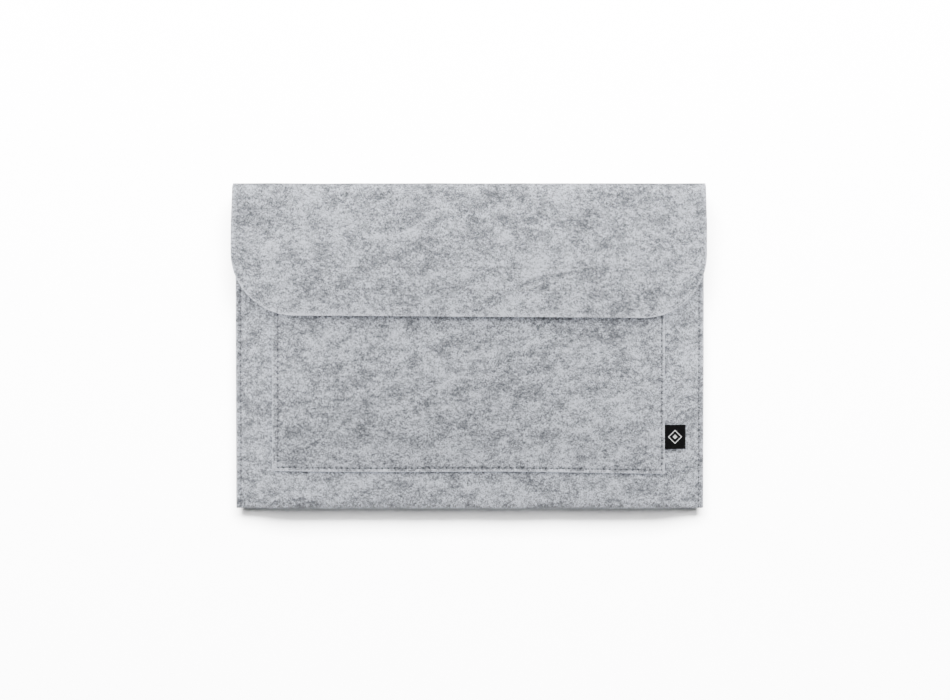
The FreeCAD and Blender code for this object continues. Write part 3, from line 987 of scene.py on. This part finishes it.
    def sheets(self) -> tuple[FoldedSheet, FoldedSheet]:
        """The sheets of body and flap, before they are cut."""
        p = self.places
        back_high = (self.back_start + (self.mouth_y - self.seam_inset)
                     - (p.low + p.felt / 2 + self.bottom_bend))
        self.front_seams, self.back_seams = (
            [SeamLine([(side * self.seam_side, start), (side * self.seam_side, end)]) for side in (-1, 1)]
            for start, end in ((self.seam_inset, self.front_length + self.fold_clear),
                               (self.back_start - self.fold_clear, back_high)))
        low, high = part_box("hook_tape_needle_thread")
        self.tape_seam = tape_seam(float(high[0]) - CAD_THREAD, self._flap_place(high[1] - CAD_THREAD),
                                   self._flap_place(low[1] + CAD_THREAD), across=0.35, groove=0.22 * MM,
                                   hole=0.45 * MM)
        body = FoldedSheet("felt_body", p.half_body, self.body_track, self.lie_body, p.felt, self.press_body,
                           seams=self.front_seams + self.back_seams, butted=(False, True))
        flap = FoldedSheet("felt_flap", p.half_flap, self.flap_track, self.lie_flap, p.felt, self.press_none,
                           corner=self.flap_corner, seams=[self.tape_seam],
                           pattern_start=self.body_track.length, butted=(True, False))
        return body, flap

    def _flap_place(self, y: float) -> float:
        """Distance along the flap's sheet at a place of the closed flap."""
        return self.flap_track.length - (float(y) - self.places.flap_low)


@dataclass
class FeltPocket:
    """The piece of felt sewn on the front along three sides, left open under the flap.

    Attributes:
        places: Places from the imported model.
        rise: How far its middle stands off the front.
        slope: Width of the slope from its seam up to there.
        flange: Width of the flat rim outside the slope.
        left_inset: Distance of the seam from the left edge.
        right_inset: Distance of the seam from the right edge.
        foot_inset: Distance of the seam from the lower edge.
        mouth_inset: Distance of its first and last stitch from the mouth.
        seam_press: Share of the thickness left in the rim.
        shift: How far the pocket lies to one side.
        slant: How far it is turned.
        wave: Unevenness of the pocket.
    """

    places: Places
    rise: float = 5.1 * MM
    slope: float = 42 * MM
    flange: float = 6 * MM
    left_inset: float = 4.6 * MM
    right_inset: float = 2.4 * MM
    foot_inset: float = 2.9 * MM
    mouth_inset: float = 3.7 * MM
    seam_press: float = 0.85
    shift: float = -0.6 * MM
    slant: float = 0.0056
    wave: Ripple = Ripple(31, 0.35 * MM, 55 * MM, 170 * MM)

    def __post_init__(self) -> None:
        """Works out the track, from the mouth down to the foot."""
        p = self.places
        self.length = p.pocket_high - p.pocket_low
        self.track = Track((p.pocket_high, p.front_top + p.felt * self.seam_press / 2), math.pi,
                           (Stretch(self.length),))

    def _inside(self, u: Array, s: Array) -> Array:
        """Distance in from the sewn edges."""
        return np.minimum(self.places.half_pocket - np.abs(u), self.length - s)

    def lie(self, u: Array, s: Array, y: Array, z: Array) -> tuple[Array, Array, Array]:
        """Lifts the middle of the pocket off the front."""
        p = self.places
        across = ease(p.half_pocket - np.abs(u), self.flange, self.flange + self.slope)
        onward = ease(self.length - s, self.flange, self.flange + self.slope)
        lift = self.rise * (0.25 * np.minimum(across, onward) + 0.75 * across * onward)
        free = ease(self._inside(u, s), self.flange, self.flange + 24 * MM)
        edge = 0.5 * MM * np.sin(u / (41 * MM) + 0.7) * ease(self.length - s, 60 * MM, 0.0)
        return u + self.shift, y - self.slant * u + edge, z + lift + self.wave.at(u, s) * free

    def press(self, u: Array, s: Array) -> Array:
        """The felt is pressed thinner along its seam."""
        return 1 - (1 - self.seam_press) * (1 - ease(self._inside(u, s), self.flange, self.flange + 5 * MM))

    def sheet(self) -> FoldedSheet:
        """The sheet of the pocket, before it is cut."""
        p = self.places
        left, right = self.left_inset - p.half_pocket, p.half_pocket - self.right_inset
        foot = self.length - self.foot_inset
        self.seam = SeamLine([(left, self.mouth_inset), (left, foot), (right, foot),
                              (right, self.mouth_inset)])
        return FoldedSheet("felt_pocket", p.half_pocket, self.track, self.lie, p.felt, self.press,
                           seams=[self.seam], pattern_start=0.9,
                           ripple=Ripple(5, 0.10 * MM, 30 * MM, 120 * MM))


# ---------------------------------------------------------------- hook and loop tape

Surface = Callable[[Array, Array, Array], Array]


@dataclass
class Tape:
    """One half of the fastening: a woven ground sewn flat on felt, and what stands on it.

    Attributes:
        name: Name of the half.
        low: Lowest flat (u, s) corner on the felt that carries it.
        high: Highest flat corner.
        surface: Gives points from flat places and heights over the felt.
        turned: Whether heights run against the felt's outer side.
        ground: Thickness of the woven tape.
        bare: Width of the edges without loops or hooks.
        cell: Size of its mesh.
        rim: Radius of its edges.
    """

    name: str
    low: tuple[float, float]
    high: tuple[float, float]
    surface: Surface
    turned: bool
    ground: float = 0.5 * MM
    bare: float = 2.0 * MM
    cell: float = 1.6 * MM
    rim: float = 0.12 * MM

    def lay(self, piece: Piece) -> None:
        """Lays a flat piece on the felt and keeps its flat places for its material."""
        flat = points_of(piece)
        move_points(piece, self.surface(flat[:, 0], flat[:, 1], flat[:, 2]))
        if self.turned:
            piece.data.flip_normals()
        store(piece, "flat_place", flat)

    def woven_ground(self) -> Piece:
        """The woven tape, with rounded cut edges."""
        width, length = self.high[0] - self.low[0], self.high[1] - self.low[1]
        piece = flat_grid(f"{self.name}_ground", self.low, (width, length),
                          (round(width / self.cell), round(length / self.cell)))
        points = points_of(piece)
        points[:, 2] = self.ground / 2
        move_points(piece, points)
        thicken(piece, self.ground, self.rim, 2)
        piece.data.shade_smooth()
        self.lay(piece)
        return piece

    def pile(self, pattern: Pattern, pitch: float, loose: float, seed: int) -> Piece:
        """Stands one loop or hook at each place of the weave, inside the bare edges.

        Args:
            pattern: Points and faces of one loop or hook, standing at the origin.
            pitch: Distance from one to the next.
            loose: How far each turns, leans and strays, as a share.
            seed: Start of the random draws.

        Returns:
            The whole pile as one piece.
        """
        points, faces = pattern
        rng = np.random.default_rng(seed)
        inset = self.bare + 0.3 * MM
        across = np.arange(self.low[0] + inset, self.high[0] - inset, pitch)
        onward = np.arange(self.low[1] + inset, self.high[1] - inset, pitch)
        flat, all_faces = [], []
        for row, s in enumerate(onward):
            for u in across + (pitch / 2 if row % 2 else 0.0):
                turn = rng.uniform(-math.pi, math.pi) * loose
                size = 1 + rng.uniform(-0.18, 0.10) * loose
                lean = rng.normal(0.0, 0.35, 2) * loose
                x = points[:, 0] * math.cos(turn) - points[:, 1] * math.sin(turn) + lean[0] * points[:, 2]
                y = points[:, 0] * math.sin(turn) + points[:, 1] * math.cos(turn) + lean[1] * points[:, 2]
                stray = rng.normal(0.0, 0.12 * pitch, 2) * loose
                offset = len(flat) * len(points)
                flat.append(np.column_stack([u + stray[0] + x, s + stray[1] + y,
                                             self.ground * 0.8 + size * points[:, 2]]))
                all_faces += [tuple(corner + offset for corner in face) for face in faces]
        piece = mesh_piece(f"{self.name}_pile", np.concatenate(flat), all_faces)
        self.lay(piece)
        return piece


def bent_wire(centres: Array, radius: float, sides: int) -> Pattern:
    """Extrudes a small polygon along a planar bent line in the X-Z plane, as one loop or hook.

    Args:
        centres: Points of the line.
        radius: Radius of the wire.
        sides: Number of its sides.

    Returns:
        Points and faces.
    """
    deselect()
    bpy.ops.mesh.primitive_circle_add(vertices=sides, radius=radius, fill_type="NGON",
                                      location=tuple(centres[0]))
    model = bpy.context.object
    bpy.ops.object.transform_apply(location=True, rotation=True, scale=True)
    bpy.ops.object.mode_set(mode="EDIT")
    bpy.ops.mesh.select_all(action="SELECT")
    headings = np.diff(centres, axis=0)
    angles = np.arctan2(headings[:, 0], headings[:, 2])
    turned = 0.0
    for number, step in enumerate(headings):
        following = angles[min(number + 1, len(angles) - 1)]
        aim = (angles[number] + following) / 2
        bpy.ops.mesh.extrude_region_move(TRANSFORM_OT_translate={"value": tuple(step)})
        bpy.ops.transform.rotate(value=-(aim - turned), orient_axis="Y",
                                 center_override=tuple(centres[number + 1]))
        turned = aim
    bpy.ops.mesh.select_all(action="SELECT")
    bpy.ops.mesh.normals_make_consistent(inside=False)
    bpy.ops.object.mode_set(mode="OBJECT")
    return take_mesh(model)


def loop_shape(height: float = 0.62 * MM, width: float = 0.7 * MM) -> Array:
    """Line of one standing loop of the soft half."""
    angle = np.linspace(-0.15 * math.pi, 1.15 * math.pi, 8)
    return np.column_stack([-width / 2 * np.cos(angle), 0 * angle, height * (0.42 + 0.58 * np.sin(angle))])


def hook_shape(height: float = 0.60 * MM) -> Array:
    """Line of one stiff hook: a straight stalk with its end bent over."""
    angle = np.linspace(0.0, 1.25 * math.pi, 6)
    bend = 0.19 * MM
    arc = np.column_stack([bend - bend * np.cos(angle), 0 * angle, height - bend + bend * np.sin(angle)])
    return np.vstack([[0.0, 0.0, 0.0], arc])


# ---------------------------------------------------------------- label

@dataclass
class RibbonLabel:
    """Woven ribbon folded double, its ends caught in the pocket's right seam.

    Attributes:
        places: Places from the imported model.
        ribbon: Thickness of one layer.
        bend: Radius of the fold's middle line.
        lifted: How far the free tab stands off the felt.
        curl: How much further its long edges do.
        caught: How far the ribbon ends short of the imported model's at its root, and passes it at its fold.
        figure_in: Distance of each figure's middle from the fold.
    """

    places: Places
    ribbon: float = 0.36 * MM
    bend: float = 0.20 * MM
    lifted: float = 0.25 * MM
    curl: float = 0.25 * MM
    caught: float = 0.4 * MM
    figure_in: float = 8.2 * MM

    def sheet(self) -> FoldedSheet:
        """The ribbon, before it is cut."""
        root_low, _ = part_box("label_root")
        tab_low, tab_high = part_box("label_tab")
        self.width = float(tab_high[1] - tab_low[1])
        self.centre = float(tab_high[1] + tab_low[1]) / 2
        start = float(root_low[0]) + self.caught
        self.reach = float(tab_high[0]) + self.caught - self.ribbon / 2 - self.bend - start
        track = Track((start, float(root_low[2]) + self.ribbon / 2 + 0.03 * MM), 0.0, (
            Stretch(self.reach), Stretch(self.bend * math.pi, math.pi), Stretch(self.reach)))
        self.hinge = float(tab_low[0])
        return FoldedSheet("label_ribbon", self.width / 2, track, self.lie, self.ribbon, FeltBlank.press_none,
                           cell=1.0 * MM, rim=0.09 * MM, ripple=Ripple(3, 0.01 * MM, 4 * MM, 12 * MM))

    def lie(self, u: Array, s: Array, x: Array, z: Array) -> tuple[Array, Array, Array]:
        """Turns the ribbon to run across the sleeve, with a slight lift and curl in its free end."""
        free = ease(x, self.hinge, self.hinge + 14 * MM)
        curl = self.curl * (2 * u / self.width) ** 2
        return x, self.centre - u + 0.012 * (x - self.hinge), z + free * (self.lifted + curl)

    def centres(self, track: Track) -> tuple[float, float]:
        """Places along the ribbon of the middles of its two faces."""
        middle = self.reach - self.figure_in
        return middle, track.length - middle


# ---------------------------------------------------------------- threads

@dataclass(frozen=True)
class Stitches:
    """Lockstitches of two-ply thread along a seam.

    Attributes:
        width: Width of the thread.
        rings: Number of short lengths that one stitch is made of.
        sides: Number of its sides.
        twist: Turn of its plies along one stitch.
        dip: How deep its ends go into the felt.
    """

    width: float = 0.46 * MM
    rings: int = 7
    sides: int = 6
    twist: float = 2.2 * math.pi
    dip: float = 1.5 * MM

    def pattern(self) -> Pattern:
        """One stitch of unit length: a twisted two-ply strand that dives into the felt at both ends.

        Returns:
            Points as (share of the length, side, height), and faces.
        """
        deselect()
        bpy.ops.mesh.primitive_cylinder_add(vertices=self.sides, radius=1.0, depth=1.0, end_fill_type="NGON",
                                            rotation=(0.0, math.pi / 2, 0.0))
        model = bpy.context.object
        bpy.ops.object.transform_apply(location=True, rotation=True, scale=True)
        bpy.ops.object.mode_set(mode="EDIT")
        for cut in range(1, self.rings):
            bpy.ops.mesh.select_all(action="SELECT")
            bpy.ops.mesh.bisect(plane_co=(cut / self.rings - 0.5, 0, 0), plane_no=(1, 0, 0))
        bpy.ops.object.mode_set(mode="OBJECT")
        points, faces = take_mesh(model)
        share = points[:, 0] + 0.5
        angle = np.arctan2(points[:, 2], points[:, 1])
        lobed = self.width / 2 * (0.82 + 0.18 * np.cos(2 * (angle - self.twist * share)))
        arch = 1 - np.abs(2 * share - 1) ** 3.2
        height = np.sin(angle) * lobed * 0.9 + self.width * 0.30 * arch - self.dip * (1 - arch) ** 1.5
        return np.stack([share, np.cos(angle) * lobed, height], axis=1), faces

    def sew(self, name: str, seam: SeamLine, surface: Surface,
            turned: bool = False) -> Piece:
        """Lays stitches along a seam.

        Args:
            name: Name of the piece.
            seam: The seam, in flat coordinates.
            surface: Gives points from flat places and heights over the sewn face.
            turned: Whether the height runs against the sheet's outer side, which turns faces inside out.

        Returns:
            One piece with every stitch of the seam.
        """
        pattern, faces = self.pattern()
        rng = np.random.default_rng(len(name) * 7 + 3)
        points, places, all_faces = [], [], []
        for number, (start, end) in enumerate(seam.stitches()):
            run = (end - start) / np.linalg.norm(end - start)
            side = np.array([-run[1], run[0]])
            lean = rng.normal(0.0, 0.05 * MM)
            share = pattern[:, 0]
            bow = lean * np.sin(math.pi * share)
            flat = start + (end - start) * share[:, None] + side * (pattern[:, 1] + bow)[:, None]
            points.append(surface(flat[:, 0], flat[:, 1], pattern[:, 2] + rng.normal(0, 0.03 * MM)))
            places.append(np.column_stack([flat, pattern[:, 2]]))
            offset = number * len(pattern)
            all_faces += [tuple(corner + offset for corner in face[::-1 if turned else 1]) for face in faces]
        piece = mesh_piece(name, np.concatenate(points), all_faces)
        store(piece, "flat_place", np.concatenate(places))
        return piece


# ---------------------------------------------------------------- camera, light and floor

FLOOR_ONLY = "INCLUDE"
NOT_FLOOR = "EXCLUDE"


@dataclass(frozen=True)
class Lamp:
    """A soft rectangular lamp that points at the sleeve.

    Attributes:
        name: Name of the lamp.
        place: Where it stands.
        size: Its length and width.
        power: Its power in watts.
        lights: FLOOR_ONLY, NOT_FLOOR, or nothing for a lamp that lights everything.
    """

    name: str
    place: Point
    size: Flat
    power: float
    lights: str = ""

    def hang(self, floor: Piece) -> None:
        """Adds the lamp to the scene."""
        light = bpy.data.lights.new(self.name, "AREA")
        light.shape, light.energy = "RECTANGLE", self.power
        light.size, light.size_y = self.size
        lamp = bpy.data.objects.new(self.name, light)
        lamp.location = self.place
        x, y, z = self.place
        lamp.visible_camera = False
        lamp.rotation_euler = (math.atan2(math.hypot(x, y), z), 0.0, math.atan2(y, x) + math.pi / 2)
        bpy.context.scene.collection.objects.link(lamp)
        if self.lights:
            linked = bpy.data.collections.new("floor_light_" + self.lights.lower())
            linked.objects.link(floor)
            linked.collection_objects[0].light_linking.link_state = self.lights
            lamp.light_linking.receiver_collection = linked


@dataclass(frozen=True)
class Studio:
    """A pale floor, soft light from beyond the fold and an overhead camera.

    Attributes:
        eye: Where the camera stands.
        lens: Its focal length, in its own millimetres.
        sensor: Width of its sensor.
        floor: Size of the floor.
        floor_grey: Share of light that the floor gives back.
        world: Strength of the even light from all round.
        lamps: The lamps.
    """

    eye: Point = (0.0047, -0.0027, 1.4)
    lens: float = 64.95
    sensor: float = 36.0
    floor: float = 24.0
    floor_grey: float = 0.97
    world: float = 0.17
    lamps: tuple[Lamp, ...] = (
        Lamp("key", (0.0, 0.78, 1.12), (2.20, 0.90), 19.6),
        Lamp("backdrop", (0.0, 2.32, 2.40), (3.20, 1.60), 2300.0, FLOOR_ONLY),
        Lamp("backdrop_high", (0.0, 1.10, 3.00), (3.20, 1.20), 130.0, FLOOR_ONLY),
        Lamp("fold", (0.0, 0.26, 0.13), (0.50, 0.06), 0.72, NOT_FLOOR),
        Lamp("foot", (0.0, -0.45, 0.05), (0.50, 0.08), 0.90, NOT_FLOOR),
        Lamp("side_0", (-0.42, 0.0, 0.22), (0.30, 0.16), 1.08, NOT_FLOOR),
        Lamp("side_1", (0.42, 0.0, 0.22), (0.30, 0.16), 1.08, NOT_FLOOR))

    def set_up(self) -> None:
        """Builds the floor, lights, world and camera."""
        deselect()
        bpy.ops.mesh.primitive_plane_add(size=self.floor, location=(0, 0, 0))
        floor = bpy.context.object
        floor.name = "studio_floor"
        dress(floor, Tree("studio_floor_paint").finish((*[self.floor_grey] * 3, 1.0), Roughness=0.9))
        floor.visible_diffuse = False
        for lamp in self.lamps:
            lamp.hang(floor)
        world = bpy.data.worlds.new("studio_world")
        world.use_nodes = True
        world.node_tree.nodes["Background"].inputs["Color"].default_value = (1, 1, 1, 1)
        world.node_tree.nodes["Background"].inputs["Strength"].default_value = self.world
        bpy.context.scene.world = world
        lens = bpy.data.cameras.new("camera")
        lens.lens, lens.sensor_width, lens.clip_start = self.lens, self.sensor, 0.05
        camera = bpy.data.objects.new("camera", lens)
        camera.location = self.eye
        bpy.context.scene.collection.objects.link(camera)
        bpy.context.scene.camera = camera


# ---------------------------------------------------------------- assembly

@dataclass
class Sleeve:
    """The whole sleeve, built in order."""

    places: Places = field(default_factory=Places)

    def build(self) -> None:
        """Makes and dresses every piece, and hangs the pocket, the tapes and the threads on their bodies."""
        felt = FeltFinish().make()
        self.thread = ThreadFinish().make()
        # The flap and the pocket get darker copies of the body's felt: painted shade, so they look less lit
        # than the body.
        self._blank(felt, FeltFinish("grey_felt_flap_painted_shade", dark=0.146, light=0.93).make())
        self._pocket(FeltFinish("grey_felt_pocket_painted_shade", dark=0.148, light=0.94).make())
        self._fastening()
        self._label()
        self._threads()

    def _blank(self, felt: Material, shaded_flap_felt: Material) -> None:
        """The long blank of felt."""
        p = self.places
        self.blank = FeltBlank(p)
        self.body, self.flap = self.blank.sheets()
        body, flap = self.body.make(), self.flap.make()
        # The flap's felt is the darker copy: painted shade.
        for piece, finish in ((body, felt), (flap, shaded_flap_felt)):
            dress(piece, finish)
        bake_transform(body)
        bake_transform(flap)
        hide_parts("sleeve_body")
        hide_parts("top_fold", "flap_panel")
        self.body.track.length
        cut_off = 2 * self.blank.flap_corner ** 2 * (1 - math.pi / 4)
        self.flap.track.length
        2 * p.half_flap * self.flap.track.length - cut_off

    def _pocket(self, felt: Material) -> None:
        """The front pocket."""
        p = self.places
        self.pocket_maker = FeltPocket(p)
        self.pocket = self.pocket_maker.sheet()
        pocket = self.pocket.make()
        # The pocket's felt is a darker copy of the body's: painted shade.
        dress(pocket, felt)
        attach(pocket, "sleeve")
        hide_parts("pocket_panel")
        self.pocket_maker.length

    def _fastening(self) -> None:
        """Both halves of the hook and loop tape, on the pocket and under the flap."""
        p = self.places
        ground = TapeFinish("tape_weave").make()
        loops = TapeFinish("tape_loops", rough=0.9, woven=False)
        hooks = TapeFinish("tape_hooks", colour=(0.30, 0.305, 0.32), rough=0.4, woven=False)
        self.tapes = []
        for name, end, sheet, side in (
                ("loop_tape", p.pocket_high, self.pocket, Side.OUTER),
                ("hook_tape", self.flap.track.length + p.flap_low, self.flap, Side.INNER)):
            low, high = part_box(name)
            self.tapes.append(Tape(name, (float(low[0]), end - float(high[1])),
                                   (float(high[0]), end - float(low[1])), self._on(sheet, side),
                                   turned=side is Side.INNER))
        on_pocket, on_flap = self.tapes
        loop = bent_wire(loop_shape(), radius=0.05 * MM, sides=3)
        piles = [on_pocket.pile(loop, pitch=1.15 * MM, loose=1.0, seed=41)]
        hook = bent_wire(hook_shape(), radius=0.07 * MM, sides=4)
        piles.append(on_flap.pile(hook, pitch=1.45 * MM, loose=0.12, seed=43))
        for tape, pile, finish, body in zip(self.tapes, piles, (loops, hooks), ("sleeve", "flap")):
            sheet = tape.woven_ground()
            dress(sheet, ground)
            dress(pile, finish.make())
            for piece in (sheet, pile):
                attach(piece, body)
                LOG.info("%s: %d faces", piece.name, len(piece.data.polygons))
            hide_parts(tape.name)

    def _label(self) -> None:
        """The woven label in the pocket's seam."""
        maker = RibbonLabel(self.places)
        sheet = maker.sheet()
        label = sheet.make()
        dress(label, LabelFinish().make(maker.centres(sheet.track)))
        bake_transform(label)
        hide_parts("label_tab", "label_root")
        sheet.track.length

    def _on(self, sheet: FoldedSheet, side: Side, lift: float = 0.0) -> Surface:
        """Surface that threads and tapes lie on.

        Args:
            sheet: The felt under them.
            side: Face of the felt.
            lift: Thickness of a tape between the face and the thread.

        Returns:
            Function that gives points from flat places and heights over the face.
        """
        def place(u: Array, s: Array, height: Array) -> Array:
            """Points at heights over the face."""
            return sheet.point(u, s, sheet.face(u, s, side) + side.value * (np.asarray(height) + lift))
        return place

    def _threads(self) -> None:
        """Every seam's needle and bobbin thread."""
        maker = Stitches()
        blank = self.blank
        p = self.places
        body, flap, pocket = self.body, self.flap, self.pocket
        offset = blank.mouth_y - p.pocket_high
        under = SeamLine([(u, s + offset) for u, s in self.pocket_maker.seam.corners])
        low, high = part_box("loop_tape_needle_thread")
        on_pocket = tape_seam(float(high[0]) - CAD_THREAD, p.pocket_high - float(high[1]),
                              p.pocket_high - float(low[1]))
        tape = self.tapes[0].ground
        rows = [("pocket_seam_needle_thread", self.pocket_maker.seam, pocket, Side.OUTER, 0.0, "sleeve"),
                ("pocket_seam_bobbin_thread", under, body, Side.INNER, 0.0, "sleeve"),
                ("loop_tape_needle_thread", on_pocket, pocket, Side.OUTER, tape, "sleeve"),
                ("loop_tape_bobbin_thread", on_pocket, pocket, Side.INNER, 0.0, "sleeve"),
                ("hook_tape_needle_thread", blank.tape_seam, flap, Side.OUTER, 0.0, "flap"),
                ("hook_tape_bobbin_thread", blank.tape_seam, flap, Side.INNER, tape, "flap")]
        for name, front_seam, back_seam in zip(("left", "right"), blank.front_seams, blank.back_seams):
            rows += [(f"{name}_seam_needle_thread", front_seam, body, Side.OUTER, 0.0, "sleeve"),
                     (f"{name}_seam_bobbin_thread", back_seam, body, Side.OUTER, 0.0, "sleeve")]
        for node, seam, sheet, side, lift, carrier in rows:
            piece = maker.sew("sewn_" + node, seam, self._on(sheet, side, lift), side is Side.INNER)
            dress(piece, self.thread)
            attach(piece, carrier)
            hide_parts(node)
            LOG.info("%s: %d faces", piece.name, len(piece.data.polygons))


def main() -> None:
    """Builds the sleeve and its studio."""
    logging.basicConfig(level=logging.INFO, format="%(name)s %(message)s")
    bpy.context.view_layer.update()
    Sleeve().build()
    Studio().set_up()


if __name__ == "__main__":
    main()
